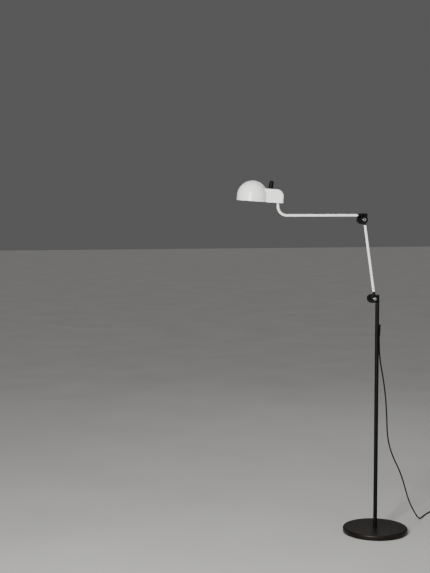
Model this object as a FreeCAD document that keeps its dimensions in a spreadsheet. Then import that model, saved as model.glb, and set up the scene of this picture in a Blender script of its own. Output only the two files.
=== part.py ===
import FreeCAD, Part
import math
import os
import re
import Sketcher
from FreeCAD import Placement, Rotation, Vector

# Adjustable arm floor lamp.  Millimetres.  Origin: middle of the base, on the floor.
# +Z is up, the arms lie in the XZ plane and the head points to -X.

SIZES = [
    # base
    ("base_radius", 131.5), ("base_thickness", 20.5), ("base_edge_round", 7.5), ("base_lower_round", 1.5),
    ("pad_thickness", 1.5), ("pad_margin", 7), ("foot_recess_radius", 19), ("foot_recess_depth", 11),
    # stem
    ("stem_radius", 8), ("stem_wall", 1.5), ("stem_top", 937), ("foot_plug_length", 40),
    ("foot_collar_radius", 9.5), ("foot_collar_height", 3), ("foot_collar_round", 0.8),
    ("foot_bolt_radius", 4), ("foot_head_radius", 7.5), ("foot_head_height", 5.3),
    ("foot_washer_radius", 13), ("foot_washer_thickness", 2),
    ("bush_bore", 5), ("bush_length", 40), ("bush_flange", 1.2),
    # friction joints
    ("disc_radius", 15.5), ("disc_round", 1.6), ("socket_half", 7.5), ("knuckle_thickness", 7),
    ("friction_radius", 13.5), ("friction_thickness", 1), ("tangent_offset", 17.4), ("socket_drop", 20),
    ("bolt_radius", 3), ("bolt_head_radius", 7), ("bolt_head_height", 3), ("bolt_socket_radius", 2.6),
    ("bolt_socket_depth", 2.1),
    ("spring_radius", 9), ("spring_thickness", 0.9), ("bolt_beyond_insert", 2), ("knob_end_wall", 3),
    ("knob_radius", 18.5), ("knob_length", 18), ("knob_round", 2.5), ("knob_flutes", 9),
    ("knob_flute_radius", 4), ("knob_flute_depth", 1.2),
    ("insert_radius", 5), ("insert_length", 8),
    # arms
    ("arm_radius", 5), ("arm_wall", 1), ("arm_plane_offset", 14), ("lower_arm_length", 321.6),
    ("lower_arm_lean", 8.5), ("neck_start", 14), ("lower_neck_end", 30), ("upper_neck_end", 22),
    ("neck_radius", 5.15), ("spigot_length", 22), ("cable_radius", 2.8),
    ("sleeve_radius", 8), ("sleeve_front", 23), ("sleeve_back", 16), ("sleeve_end_wall", 3),
    ("upper_arm_reach", 356), ("head_rise", 49.7), ("bend_radius", 36), ("end_lean", 3),
    ("set_screw_radius", 2), ("set_screw_inset", 6),
    # head mount
    ("head_yaw", 12), ("head_pitch", 7), ("tube_inside_head", 5), ("pivot_height", 18), ("mount_radius", 6.5),
    ("mount_top", 27), ("mount_pin_length", 13), ("tilt_pin_radius", 2.5), ("tilt_head_radius", 4.6),
    ("tilt_head_height", 2.2), ("tilt_pin_end", 1), ("tilt_washer_thickness", 0.8), ("tilt_washer_radius", 6),
    # shade
    ("dome_radius", 60), ("dome_forward", 100), ("skirt_height", 19.5), ("shade_wall", 1.5),
    ("tail_back", 21), ("tail_width", 58), ("tail_height", 52), ("tail_corner", 28),
    ("tail_round", 6), ("junction_round", 5), ("cover_thickness", 2), ("cover_front", 45),
    ("cover_recess", 2.5), ("slot_rear", 16), ("slot_front", 13), ("slot_width", 13),
    ("cover_screw_radius", 1.75), ("cover_screw_offset", 19), ("cover_screw_length", 16),
    ("cover_post_radius", 4), ("cover_post_x", -34),
    # chassis and switch
    ("chassis_plate", 1.6), ("cheek_inner", 8.2), ("cheek_half_width", 8), ("web_front", -42),
    ("web_back", -10), ("cheek_foot", 9), ("switch_x", -31), ("switch_body_length", 18),
    ("switch_body_width", 13), ("switch_body_height", 10), ("bushing_radius", 6),
    ("bushing_rise", 3.2), ("ring_nut_radius", 9.6), ("ring_nut_height", 1.8),
    ("lever_base_radius", 9.6), ("lever_top_radius", 7.6), ("lever_length", 32),
    ("lever_lift", 3.8), ("lever_round", 5.5), ("lever_clearance", 1), ("lever_lean", 6),
    ("lever_stalk_radius", 1.6),
    # lampholder and lamp
    ("lamp_height", 26), ("holder_back", -41), ("holder_radius", 13.5), ("holder_length", 31),
    ("holder_wall", 1.8), ("holder_ring_radius", 16), ("holder_ring_length", 7),
    ("bracket_thickness", 1.6), ("bracket_half_width", 12), ("nipple_radius", 5),
    ("nipple_wall", 1.2), ("nipple_nut_radius", 8), ("nipple_nut_thickness", 3), ("nipple_end", 1),
    ("contact_gap", 1), ("contact_thickness", 5), ("liner_wall", 1), ("liner_inset", 1), ("cap_taper", 4),
    ("lamp_cap_radius", 7), ("lamp_cap_length", 22), ("lamp_bulb_radius", 22.5),
    ("lamp_overall", 78), ("lamp_neck_radius", 11),
    ("terminal_length", 20), ("terminal_width", 14), ("terminal_height", 12), ("terminal_x", -22),
    # cord
    ("cord_radius", 2.9), ("outlet_height", 830), ("outlet_radius", 5.6), ("outlet_length", 22),
    ("relief_length", 24), ("relief_tip_radius", 4), ("outlet_offset", 13.8), ("outlet_bearing", 29),
    ("saddle_width", 9), ("outlet_screw_drop", 7), ("outlet_screw_seat", 1),
    ("outlet_screw_head_radius", 3.6), ("outlet_screw_head_height", 2),
    ("coil_middle_radius", 31), ("coil_columns", 3), ("coil_layers", 2),
    ("coil_lift", 1), ("tie_thickness", 0.7), ("tie_slack", 0.5), ("tie_width", 8),
    ("plug_lead", 24), ("plug_sleeve_length", 26), ("plug_neck", 5.4), ("plug_length", 34),
    ("plug_width", 26), ("plug_depth", 12), ("plug_shoulder", 15.3),
    ("plug_round", 2.4), ("plug_pin_radius", 2),
    ("plug_pin_length", 19), ("plug_pin_spacing", 19),
    # clearances
    ("running_gap", 0.05), ("seat_gap", 0.02), ("face_gap", 0.1), ("free_gap", 0.6), ("floor_gap", 0.1),
    # how far a cut runs past the solid it cuts
    ("cut_margin", 1),
]

# millimetres within which an edge counts as exactly at a place, as at a rim, and as a scrap
NEAR = 0.01
AT_RIM = 1
SHORT_EDGE = 5

doc = FreeCAD.newDocument("lamp")
sheet = doc.addObject("Spreadsheet::Sheet", "Sizes")
for row, (alias, number) in enumerate(SIZES, start=1):
    sheet.set("A%d" % row, alias)
    sheet.set("B%d" % row, str(number))
    sheet.setAlias("B%d" % row, alias)
doc.recompute()


def size(alias):
    """The present value of one named size."""
    return float(sheet.get(alias))


def cells(formula):
    """A formula of named sizes, written the way the document's expressions need it."""
    return re.sub(r"\b[a-z]\w+\b(?!\()", lambda word: "Sizes." + word.group(), formula)


def amount(formula):
    """The present value of a formula of named sizes."""
    result = sheet.evalExpression(cells(formula))
    return float(getattr(result, "Value", result))


def bind(thing, formulas):
    """Binds properties of an object to formulas of named sizes."""
    for name, formula in formulas.items():
        thing.setExpression(name, cells(formula))


# ---------------------------------------------------------------- sketch and feature helpers

def new_body(name):
    body = doc.addObject("PartDesign::Body", name)
    body.Label = name
    return body


def new_sketch(body, plane="XZ"):
    """A sketch on one of the body's own origin planes."""
    sketch = body.newObject("Sketcher::SketchObject", body.Name + "_sketch")
    role = plane + "_Plane"
    origin_plane = [item for item in body.Origin.OriginFeatures if item.Role == role][0]
    sketch.AttachmentSupport = (origin_plane, "")
    sketch.MapMode = "FlatFace"
    return sketch


def hold(sketch, geometry, which, kind, formula):
    """Holds one point of a sketch at a formula along one axis."""
    number = amount(formula)
    if abs(number) < 1e-9:
        axis = -2 if kind == "DistanceX" else -1
        sketch.addConstraint(Sketcher.Constraint("PointOnObject", geometry, which, axis))
        return
    if number > 0:
        rule = Sketcher.Constraint(kind, -1, 1, geometry, which, number)
        text = cells(formula)
    else:
        rule = Sketcher.Constraint(kind, geometry, which, -1, 1, -number)
        text = "-(%s)" % cells(formula)
    sketch.setExpression("Constraints[%d]" % sketch.addConstraint(rule), text)


def fix_point(sketch, geometry, which, x, y):
    """Holds one point of a sketch at two formulas."""
    hold(sketch, geometry, which, "DistanceX", x)
    hold(sketch, geometry, which, "DistanceY", y)


def outline(sketch, corners):
    """A closed outline of straight lines through corners given as pairs of formulas."""
    points = [Vector(amount(x), amount(y), 0) for x, y in corners]
    first = sketch.GeometryCount
    for start, end in zip(points, points[1:] + points[:1]):
        sketch.addGeometry(Part.LineSegment(start, end))
    for number in range(len(points)):
        after = first + (number + 1) % len(points)
        sketch.addConstraint(Sketcher.Constraint("Coincident", first + number, 2, after, 1))
    for number, (x, y) in enumerate(corners):
        fix_point(sketch, first + number, 1, x, y)


def ring(sketch, radius, x="0", y="0"):
    """A circle of a radius and a place given as formulas."""
    circle = Part.Circle(Vector(amount(x), amount(y), 0), Vector(0, 0, 1), amount(radius))
    number = sketch.addGeometry(circle)
    if abs(amount(x)) < 1e-9 and abs(amount(y)) < 1e-9:
        sketch.addConstraint(Sketcher.Constraint("Coincident", number, 3, -1, 1))
    else:
        fix_point(sketch, number, 3, x, y)
    rule = sketch.addConstraint(Sketcher.Constraint("Radius", number, amount(radius)))
    sketch.setExpression("Constraints[%d]" % rule, cells(radius))


def box_outline(sketch, left, right, low, high):
    outline(sketch, [(left, low), (right, low), (right, high), (left, high)])


def revolve(body, sketch, kind="Revolution"):
    """Turns a sketch about its own upright axis."""
    feature = body.newObject("PartDesign::" + kind, body.Name + "_turned")
    feature.Profile = sketch
    feature.ReferenceAxis = (sketch, ["V_Axis"])
    feature.Angle = 360
    doc.recompute()
    return feature


def extrude(body, sketch, length, kind="Pad", reverse=False, middle=False):
    """Pads or pockets a sketch by a formula."""
    feature = body.newObject("PartDesign::" + kind, body.Name + "_extruded")
    feature.Profile = sketch
    bind(feature, {"Length": length})
    feature.Reversed = reverse
    feature.Midplane = middle
    doc.recompute()
    return feature


def cut_through(body, sketch):
    """A pocket through the whole body, both ways."""
    feature = body.newObject("PartDesign::Pocket", body.Name + "_through")
    feature.Profile = sketch
    feature.Type = "ThroughAll"
    feature.Midplane = True
    doc.recompute()
    return feature


def soften(body, radius, chosen, kind="Fillet"):
    """Rounds or bevels the edges of the body's tip that a test picks."""
    tip = body.Tip
    names = ["Edge%d" % (n + 1) for n, edge in enumerate(tip.Shape.Edges) if chosen(edge)]
    feature = body.newObject("PartDesign::" + kind, body.Name + "_" + kind.lower())
    feature.Base = (tip, names)
    bind(feature, {"Radius" if kind == "Fillet" else "Size": radius})
    doc.recompute()
    return feature


def flat_at(axis, place):
    """A test for edges that lie in one plane across an axis."""
    def test(edge):
        box = edge.BoundBox
        low = (box.XMin, box.YMin, box.ZMin)[axis]
        high = (box.XMax, box.YMax, box.ZMax)[axis]
        return abs(low - place) < NEAR and abs(high - place) < NEAR
    return test


def turned(name, corners, place):
    """A turned piece: an outline of (radius, height) pairs about the upright axis."""
    body = new_body(name)
    sketch = new_sketch(body)
    outline(sketch, corners)
    revolve(body, sketch)
    body.Placement = place
    return body


def washer(name, inner, outer, low, high, place):
    return turned(name, [(inner, low), (outer, low), (outer, high), (inner, high)], place)


def at(x=0, y=0, z=0, axis=Vector(0, 1, 0), angle=0):
    return Placement(Vector(x, y, z), Rotation(axis, angle))


# ---------------------------------------------------------------- frames of the moving groups

STEM = at()
LOWER = at(-size("tangent_offset"), 0, size("stem_top") + size("bush_flange") + size("face_gap")
           + size("socket_drop"),
           angle=-size("lower_arm_lean"))
UPPER = at(*LOWER.multVec(Vector(0, 0, size("lower_arm_length"))))
HUB = at(*LOWER.Base)
HEAD_END = UPPER * at(-size("upper_arm_reach"), 0, size("tangent_offset") + size("head_rise"),
                      angle=-size("end_lean"))
MOUNT = HEAD_END * at(axis=Vector(0, 0, 1), angle=-size("head_yaw"))
HEAD = MOUNT * at(z=size("pivot_height"), angle=size("head_pitch")) * at(z=-size("pivot_height"))
# turns the upright axis of a piece onto the pivot axis: local +Z becomes +Y
ACROSS = at(axis=Vector(1, 0, 0), angle=-90)


# ---------------------------------------------------------------- base and stem

def base_disc():
    body = new_body("base_disc")
    low = "pad_thickness"
    top = "pad_thickness + base_thickness"
    recess = "pad_thickness + foot_recess_depth"
    sketch = new_sketch(body)
    outline(sketch, [("foot_bolt_radius + face_gap", recess), ("foot_recess_radius", recess),
                     ("foot_recess_radius", low), ("base_radius", low), ("base_radius", top),
                     ("foot_bolt_radius + face_gap", top)])
    revolve(body, sketch)
    outer = size("base_radius") - AT_RIM
    soften(body, "base_edge_round", lambda edge: flat_at(2, amount(top))(edge) and edge.BoundBox.XMax > outer)
    soften(body, "base_lower_round", lambda edge: flat_at(2, amount(low))(edge)
           and edge.BoundBox.XMax > outer)


def base_pad():
    """Felt pad over the whole underside, the recess of the bolt included."""
    turned("base_pad", [("0", "0"), ("base_radius - pad_margin", "0"),
                        ("base_radius - pad_margin", "pad_thickness"), ("0", "pad_thickness")], STEM)


def stem_foot():
    """Threaded plug fixed in the stem, with a collar that stands on the base."""
    top = "pad_thickness + base_thickness"
    inner = "stem_radius - stem_wall - seat_gap"
    turned("stem_foot_plug", [
        ("foot_bolt_radius + seat_gap", top), ("foot_collar_radius", top),
        ("foot_collar_radius", top + " + foot_collar_height"), (inner, top + " + foot_collar_height"),
        (inner, top + " + foot_plug_length"), ("foot_bolt_radius + seat_gap", top + " + foot_plug_length"),
    ], STEM)
    soften(doc.getObject("stem_foot_plug"), "foot_collar_round",
           lambda edge: flat_at(2, amount(top + " + foot_collar_height"))(edge)
           and edge.BoundBox.XMax > size("foot_collar_radius") - AT_RIM)
    recess = "pad_thickness + foot_recess_depth"
    washer("foot_washer", "foot_bolt_radius + seat_gap", "foot_washer_radius",
           recess + " - foot_washer_thickness", recess, STEM)
    head = recess + " - foot_washer_thickness"
    turned("foot_bolt", [
        ("0", head + " - foot_head_height"), ("foot_head_radius", head + " - foot_head_height"),
        ("foot_head_radius", head), ("foot_bolt_radius", head),
        ("foot_bolt_radius", top + " + foot_plug_length - foot_bolt_radius"),
        ("0", top + " + foot_plug_length - foot_bolt_radius"),
    ], STEM)


CABLE_HOLE = "outlet_height + outlet_length / 3"
OUTLET_SCREW = "outlet_height + outlet_length - outlet_screw_drop"


def stem_tube():
    """Black steel tube, with the cable's side hole and the outlet's screw hole."""
    place = at(axis=Vector(0, 0, 1), angle=size("outlet_bearing"))
    inner = "stem_radius - stem_wall"
    low = "pad_thickness + base_thickness + foot_collar_height"
    washer("stem_tube", inner, "stem_radius", low, "stem_top", place)
    body = doc.getObject("stem_tube")
    sketch = new_sketch(body, "YZ")
    ring(sketch, "cord_radius + seat_gap", "0", CABLE_HOLE)
    ring(sketch, "set_screw_radius + seat_gap", "0", OUTLET_SCREW)
    extrude(body, sketch, "stem_radius * 2", "Pocket", reverse=True)


def stem_bush():
    """Plastic bearing in the top of the stem, for the arm's swivel pin."""
    turned("stem_bush", [
        ("bush_bore", "stem_top - bush_length"),
        ("stem_radius - stem_wall - seat_gap", "stem_top - bush_length"),
        ("stem_radius - stem_wall - seat_gap", "stem_top"), ("stem_radius", "stem_top"),
        ("stem_radius", "stem_top + bush_flange"), ("bush_bore", "stem_top + bush_flange"),
    ], STEM)


def stem_cable():
    turned("stem_cable", [("0", CABLE_HOLE), ("cable_radius", CABLE_HOLE),
                          ("cable_radius", "stem_top - bush_length - face_gap"),
                          ("0", "stem_top - bush_length - face_gap")], STEM)


def cord_outlet():
    """Moulded outlet on the stem, with a tapered strain relief below it and a screw."""
    place = at(axis=Vector(0, 0, 1), angle=size("outlet_bearing"))
    centre = "outlet_offset"
    body = new_body("cord_outlet")
    # the outlet is turned about the cord, so its own origin stands on the cord's line
    sketch = new_sketch(body)
    outline(sketch, [("cord_radius + seat_gap", "outlet_height"), ("outlet_radius", "outlet_height"),
                     ("outlet_radius", "outlet_height + outlet_length"),
                     ("0", "outlet_height + outlet_length"),
                     ("0", CABLE_HOLE + " + cord_radius"),
                     ("cord_radius + seat_gap", CABLE_HOLE + " + cord_radius")])
    revolve(body, sketch)
    saddle = new_sketch(body)
    box_outline(saddle, "-outlet_offset + stem_radius / 2", "-cord_radius - seat_gap",
                "outlet_height", "outlet_height + outlet_length")
    extrude(body, saddle, "saddle_width", middle=True)
    seat = new_sketch(body, "XY")
    ring(seat, "stem_radius + seat_gap", "-outlet_offset", "0")
    cut_through(body, seat)
    screw_hole = new_sketch(body, "YZ")
    ring(screw_hole, "set_screw_radius + seat_gap", "0", OUTLET_SCREW)
    cut_through(body, screw_hole)
    body.Placement = place * at(size(centre))
    turned("cord_strain_relief", [
        ("cord_radius + seat_gap", "outlet_height - relief_length"),
        ("relief_tip_radius", "outlet_height - relief_length"), ("outlet_radius", "outlet_height"),
        ("cord_radius + seat_gap", "outlet_height"),
    ], place * at(size(centre)))
    inside = size("stem_radius") - size("stem_wall")
    screw = place * at(inside - size("outlet_screw_seat"), 0, amount(OUTLET_SCREW), angle=90)
    seat = "outlet_offset + outlet_radius - stem_radius + stem_wall + outlet_screw_seat"
    turned("outlet_screw", [
        ("0", "0"), ("set_screw_radius", "0"),
        ("set_screw_radius", seat), ("outlet_screw_head_radius", seat),
        ("outlet_screw_head_radius", seat + " + outlet_screw_head_height"),
        ("0", seat + " + outlet_screw_head_height"),
    ], screw)


# ---------------------------------------------------------------- friction joints

# places along the pivot axis, from the stem's middle plane, +Y away from the front
FRICTION_BACK = "-socket_half - face_gap"
KNUCKLE_BACK = "-socket_half - face_gap * 2 - friction_thickness"
KNUCKLE_FRONT = KNUCKLE_BACK + " - knuckle_thickness"
KNOB_FRONT = "socket_half + face_gap * 2 + spring_thickness"
HEXAGON = [(math.cos(math.radians(60 * n)), math.sin(math.radians(60 * n))) for n in range(6)]


def hexagon(sketch, radius):
    outline(sketch, [("%s * %s" % (radius, x), "%s * %s" % (radius, y)) for x, y in HEXAGON])


def socket(name, sleeve, place):
    """Rear half of a joint: a drum on the pivot and a sleeve beside it for stem or tube."""
    body = new_body(name)
    drum = new_sketch(body)
    ring(drum, "disc_radius", "-tangent_offset", "0")
    extrude(body, drum, "socket_half * 2", middle=True)
    half = size("socket_half")
    soften(body, "disc_round", lambda edge: flat_at(1, half)(edge) or flat_at(1, -half)(edge))
    sketch = new_sketch(body)
    outline(sketch, sleeve["outside"])
    revolve(body, sketch)
    hollow = new_sketch(body)
    outline(hollow, sleeve["bore"])
    revolve(body, hollow, "Groove")
    bore = new_sketch(body)
    ring(bore, "bolt_radius + running_gap", "-tangent_offset", "0")
    cut_through(body, bore)
    body.Placement = place
    return body


def lower_socket():
    """It turns on the stem by a hollow pin in the bush."""
    pin_end = "-socket_drop - bush_length - bush_flange"
    socket("lower_joint_socket", {
        "outside": [("0", pin_end), ("bush_bore - running_gap", pin_end),
                    ("bush_bore - running_gap", "-socket_drop"), ("sleeve_radius", "-socket_drop"),
                    ("sleeve_radius", "disc_radius"), ("0", "disc_radius")],
        "bore": [("0", pin_end), ("cable_radius + face_gap", pin_end),
                 ("cable_radius + face_gap", "sleeve_radius"), ("0", "sleeve_radius")],
    }, at(z=HUB.Base.z))


def upper_socket():
    """It holds the end of the upper arm in a blind sleeve above the pivot."""
    place = UPPER * at(z=size("tangent_offset"), angle=-90)
    body = socket("upper_joint_socket", {
        "outside": [("0", "-sleeve_back"), ("sleeve_radius", "-sleeve_back"),
                    ("sleeve_radius", "sleeve_front"), ("0", "sleeve_front")],
        "bore": [("0", "-sleeve_back + sleeve_end_wall"),
                 ("arm_radius + seat_gap", "-sleeve_back + sleeve_end_wall"),
                 ("arm_radius + seat_gap", "sleeve_front"), ("0", "sleeve_front")],
    }, place)
    hole = new_sketch(body, "YZ")
    ring(hole, "set_screw_radius + seat_gap", "0", "sleeve_front - set_screw_inset")
    extrude(body, hole, "sleeve_radius + cut_margin", "Pocket", reverse=True)
    screw = place * at(z=amount("sleeve_front - set_screw_inset"), angle=90)
    turned("upper_set_screw", [
        ("0", "arm_radius + seat_gap"), ("set_screw_radius", "arm_radius + seat_gap"),
        ("set_screw_radius", "sleeve_radius"), ("0", "sleeve_radius"),
    ], screw)


def knuckle(name, neck_end, place):
    """Front half of a joint: a disc on the pivot, a neck and a spigot inside the arm's tube."""
    body = new_body(name)
    disc = new_sketch(body)
    ring(disc, "disc_radius")
    disc.setExpression(".AttachmentOffset.Base.z", cells("-(arm_plane_offset + %s)" % KNUCKLE_BACK))
    extrude(body, disc, "knuckle_thickness")
    soften(body, "disc_round", flat_at(1, size("arm_plane_offset") + amount(KNUCKLE_FRONT)))
    neck = new_sketch(body)
    spigot = "arm_radius - arm_wall - seat_gap"
    outline(neck, [("0", "neck_start"), ("neck_radius", "neck_start"), ("neck_radius", neck_end),
                   (spigot, neck_end), (spigot, neck_end + " + spigot_length"),
                   ("0", neck_end + " + spigot_length")])
    revolve(body, neck)
    hollow = new_sketch(body)
    outline(hollow, [("0", "disc_radius"), ("cable_radius + face_gap", "disc_radius"),
                     ("cable_radius + face_gap", neck_end + " + spigot_length"),
                     ("0", neck_end + " + spigot_length")])
    revolve(body, hollow, "Groove")
    bore = new_sketch(body)
    ring(bore, "bolt_radius + seat_gap")
    cut_through(body, bore)
    body.Placement = place * at(y=-size("arm_plane_offset"))


def pivot_hardware(joint, place):
    """Friction disc, bolt, spring washer, knob and its insert on one pivot."""
    axis = place * ACROSS
    washer(joint + "_friction_disc", "bolt_radius + running_gap", "friction_radius",
           FRICTION_BACK + " - friction_thickness", FRICTION_BACK, axis)
    head = KNUCKLE_FRONT + " - bolt_head_height"
    tip = KNOB_FRONT + " + insert_length + bolt_beyond_insert"
    bolt = turned(joint + "_pivot_bolt", [
        ("0", head), ("bolt_head_radius", head), ("bolt_head_radius", KNUCKLE_FRONT),
        ("bolt_radius", KNUCKLE_FRONT), ("bolt_radius", tip), ("0", tip),
    ], axis)
    soften(bolt, "bolt_head_height / 3", flat_at(2, amount(head)))
    drive = new_sketch(bolt, "XY")
    hexagon(drive, "bolt_socket_radius")
    drive.setExpression(".AttachmentOffset.Base.z", cells(head))
    extrude(bolt, drive, "bolt_socket_depth", "Pocket", reverse=True)
    turned(joint + "_spring_washer", [
        ("bolt_radius + running_gap", "socket_half + face_gap"),
        ("bolt_radius * 2", "socket_half + face_gap"),
        ("spring_radius", KNOB_FRONT + " - face_gap * 4"), ("spring_radius", KNOB_FRONT + " - face_gap"),
        ("bolt_radius + running_gap", KNOB_FRONT + " - face_gap"),
    ], axis)
    knob_end = KNOB_FRONT + " + knob_length"
    knob = turned(joint + "_knob", [
        ("insert_radius + seat_gap", KNOB_FRONT), ("knob_radius", KNOB_FRONT), ("knob_radius", knob_end),
        ("0", knob_end), ("0", knob_end + " - knob_end_wall"),
        ("bolt_radius + free_gap", knob_end + " - knob_end_wall"),
        ("bolt_radius + free_gap", KNOB_FRONT + " + insert_length"),
        ("insert_radius + seat_gap", KNOB_FRONT + " + insert_length"),
    ], axis)
    rim = size("knob_radius")
    soften(knob, "knob_round", lambda edge: edge.BoundBox.XMax > rim - 1
           and flat_at(2, amount(knob_end))(edge))
    flutes = new_sketch(knob, "XY")
    reach = "(knob_radius + knob_flute_radius - knob_flute_depth)"
    for number in range(int(size("knob_flutes"))):
        turn = math.radians(360 / size("knob_flutes") * number)
        ring(flutes, "knob_flute_radius", "%s * %.6f" % (reach, math.cos(turn)),
             "%s * %.6f" % (reach, math.sin(turn)))
    cut_through(knob, flutes)
    washer(joint + "_knob_insert", "bolt_radius + running_gap", "insert_radius",
           KNOB_FRONT, KNOB_FRONT + " + insert_length", axis)


# ---------------------------------------------------------------- arms

def lower_arm():
    side = LOWER * at(y=-size("arm_plane_offset"))
    high = "lower_arm_length - upper_neck_end"
    washer("lower_arm_tube", "arm_radius - arm_wall", "arm_radius", "lower_neck_end", high, side)
    turned("lower_arm_cable", [
        ("0", "disc_radius + free_gap"), ("cable_radius", "disc_radius + free_gap"),
        ("cable_radius", "lower_arm_length - disc_radius - free_gap"),
        ("0", "lower_arm_length - disc_radius - free_gap")], side)


def bent_path(sketch, end_extra):
    """Line, bend and line: from the sleeve along -X, then up into the head."""
    lean = math.radians(size("end_lean"))
    radius = size("bend_radius")
    end_x = "-(upper_arm_reach + sleeve_back - sleeve_end_wall + (%s) * sin(end_lean))" % end_extra
    end_z = "head_rise + (%s) * cos(end_lean)" % end_extra
    end = Vector(amount(end_x), amount(end_z), 0)
    corner = Vector(end.x + math.tan(lean) * end.y, 0, 0)
    up = Vector(-math.sin(lean), math.cos(lean), 0)
    cut = radius * math.tan((math.pi / 2 - lean) / 2)
    bend_in = corner + Vector(cut, 0, 0)
    bend_out = corner + up * cut
    centre = bend_in + Vector(0, radius, 0)
    middle = centre + (corner - centre).normalize() * radius
    run = sketch.addGeometry(Part.LineSegment(Vector(0, 0, 0), bend_in))
    bend = sketch.addGeometry(Part.Arc(bend_out, middle, bend_in))
    rise = sketch.addGeometry(Part.LineSegment(bend_out, end))
    sketch.addConstraint(Sketcher.Constraint("Coincident", run, 1, -1, 1))
    sketch.addConstraint(Sketcher.Constraint("Horizontal", run))
    sketch.addConstraint(Sketcher.Constraint("Tangent", run, 2, bend, 2))
    sketch.addConstraint(Sketcher.Constraint("Tangent", bend, 1, rise, 1))
    rule = sketch.addConstraint(Sketcher.Constraint("Radius", bend, radius))
    sketch.setExpression("Constraints[%d]" % rule, cells("bend_radius"))
    fix_point(sketch, rise, 2, end_x, end_z)
    bend_start = "%s + (%s) * tan(end_lean) + bend_radius * tan(45 - end_lean / 2)" % (end_x, end_z)
    hold(sketch, run, 2, "DistanceX", bend_start)


def bent_rod(name, radii, end_extra):
    """A rod or tube along the upper arm's path."""
    body = new_body(name)
    section = new_sketch(body, "YZ")
    for radius in radii:
        ring(section, radius)
    path = new_sketch(body)
    bent_path(path, end_extra)
    doc.recompute()
    pipe = body.newObject("PartDesign::AdditivePipe", name + "_pipe")
    pipe.Profile = section
    pipe.Spine = path
    doc.recompute()
    body.Placement = UPPER * at(size("sleeve_back") - size("sleeve_end_wall"), 0, size("tangent_offset"))


def upper_arm():
    bent_rod("upper_arm_tube", ["arm_radius", "arm_radius - arm_wall"], "tube_inside_head")
    bent_rod("upper_arm_cable", ["cable_radius"], "tube_inside_head - mount_pin_length - free_gap")


# ---------------------------------------------------------------- head mount

def head_mount():
    """Block that turns on a pin in the end of the arm and carries the tilt pin."""
    low = "tube_inside_head + face_gap"
    pin_end = low + " - mount_pin_length"
    pin = "arm_radius - arm_wall - running_gap"
    body = turned("head_swivel_block", [
        ("0", pin_end), (pin, pin_end), (pin, low), ("mount_radius", low),
        ("mount_radius", "mount_top"), ("0", "mount_top"),
    ], MOUNT)
    bore = new_sketch(body)
    ring(bore, "tilt_pin_radius + running_gap", "0", "pivot_height")
    cut_through(body, bore)
    axis = HEAD * at(z=size("pivot_height")) * ACROSS
    outer = "cheek_inner + chassis_plate"
    turned("tilt_pin", [
        ("0", "-(%s) - tilt_head_height" % outer), ("tilt_head_radius", "-(%s) - tilt_head_height" % outer),
        ("tilt_head_radius", "-(%s)" % outer), ("tilt_pin_radius", "-(%s)" % outer),
        ("tilt_pin_radius", outer + " + tilt_head_height + tilt_pin_end"),
        ("0", outer + " + tilt_head_height + tilt_pin_end"),
    ], axis)
    washer("tilt_nut", "tilt_pin_radius + seat_gap", "tilt_head_radius", outer,
           outer + " + tilt_head_height", axis)
    body = new_body("tilt_washers")
    for side in ("", "-"):
        sketch = new_sketch(body)
        sketch.setExpression(".AttachmentOffset.Base.z",
                             cells("%s(cheek_inner - face_gap)" % side))
        ring(sketch, "tilt_washer_radius")
        ring(sketch, "tilt_pin_radius + running_gap")
        extrude(body, sketch, "tilt_washer_thickness", reverse=(side == ""))
    body.Placement = HEAD * at(z=size("pivot_height"))


# ---------------------------------------------------------------- head: shade, cover, chassis

# the form of the room inside the shade, which is only cut away and is no piece
SHADE_CORE = "shade_core"

def dome_outline(sketch, inset):
    """Half section of the dome and its straight skirt, set in by a formula."""
    radius = "dome_radius - %s" % inset
    rim = Vector(amount(radius), 0, 0)
    knee = Vector(amount(radius), size("skirt_height"), 0)
    top = Vector(0, amount("skirt_height + " + radius), 0)
    half = knee.x * math.sqrt(0.5)
    wall = sketch.addGeometry(Part.LineSegment(rim, knee))
    crown = sketch.addGeometry(Part.Arc(knee, Vector(half, knee.y + half, 0), top))
    axis = sketch.addGeometry(Part.LineSegment(top, Vector(0, 0, 0)))
    floor = sketch.addGeometry(Part.LineSegment(Vector(0, 0, 0), rim))
    sketch.addConstraint(Sketcher.Constraint("Coincident", wall, 2, crown, 1))
    sketch.addConstraint(Sketcher.Constraint("Coincident", crown, 2, axis, 1))
    sketch.addConstraint(Sketcher.Constraint("Coincident", axis, 2, floor, 1))
    sketch.addConstraint(Sketcher.Constraint("Coincident", floor, 2, wall, 1))
    sketch.addConstraint(Sketcher.Constraint("Coincident", floor, 1, -1, 1))
    sketch.addConstraint(Sketcher.Constraint("PointOnObject", crown, 3, -2))
    sketch.addConstraint(Sketcher.Constraint("Vertical", axis))
    fix_point(sketch, wall, 1, radius, "0")
    fix_point(sketch, wall, 2, radius, "skirt_height")


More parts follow.
